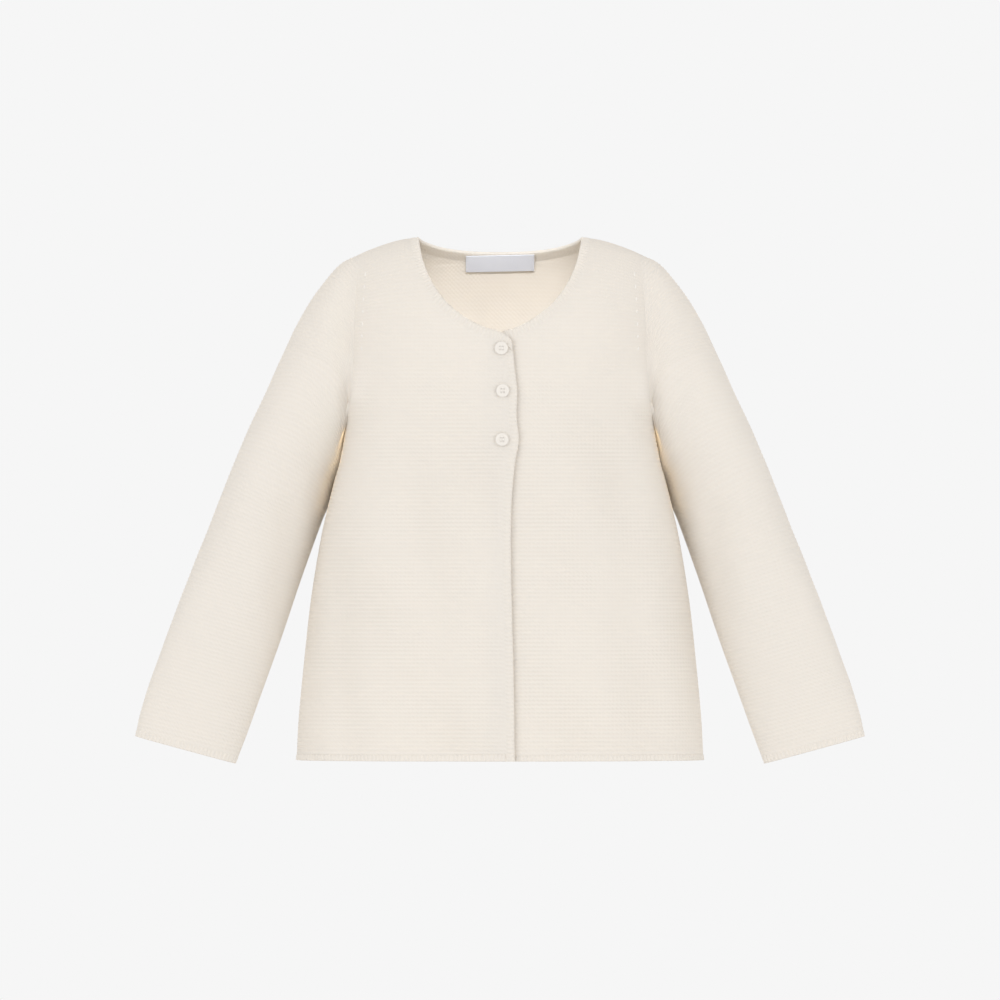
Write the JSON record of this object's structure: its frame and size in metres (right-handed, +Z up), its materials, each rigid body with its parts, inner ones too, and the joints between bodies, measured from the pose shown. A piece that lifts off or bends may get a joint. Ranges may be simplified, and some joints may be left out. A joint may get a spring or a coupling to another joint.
{
  "type": "small child's knitted cardigan",
  "caption": "Hollow garter stitch cardigan for a small child, filled out as if worn: open neck, set-in sleeves, flared body, lapped fronts with small round buttons.",
  "frame": {"origin": "midway between the two side neck points, level with them, where the wearer's shoulders hold it", "axes": "+Z up, +X to the wearer's left, +Y to the wearer's back, so the fronts face -Y"},
  "size_m": [0.5468, 0.1453, 0.3946],
  "materials": {
    "knit": "matt ivory cotton in garter stitch",
    "pearl": "white pearly plastic",
    "satin": "plain white satin tape with a soft sheen"
  },
  "bodies": {
    "root": {"back": "knit", "front_right": "knit", "front_left": "knit", "sleeve_right": "knit", "sleeve_left": "knit", "trim_front_right": "knit", "trim_front_left": "knit", "trim_neck": "knit", "label": "satin", "button_top": "pearl", "button_middle": "pearl", "button_lower": "pearl"}
  },
  "joints": []
}
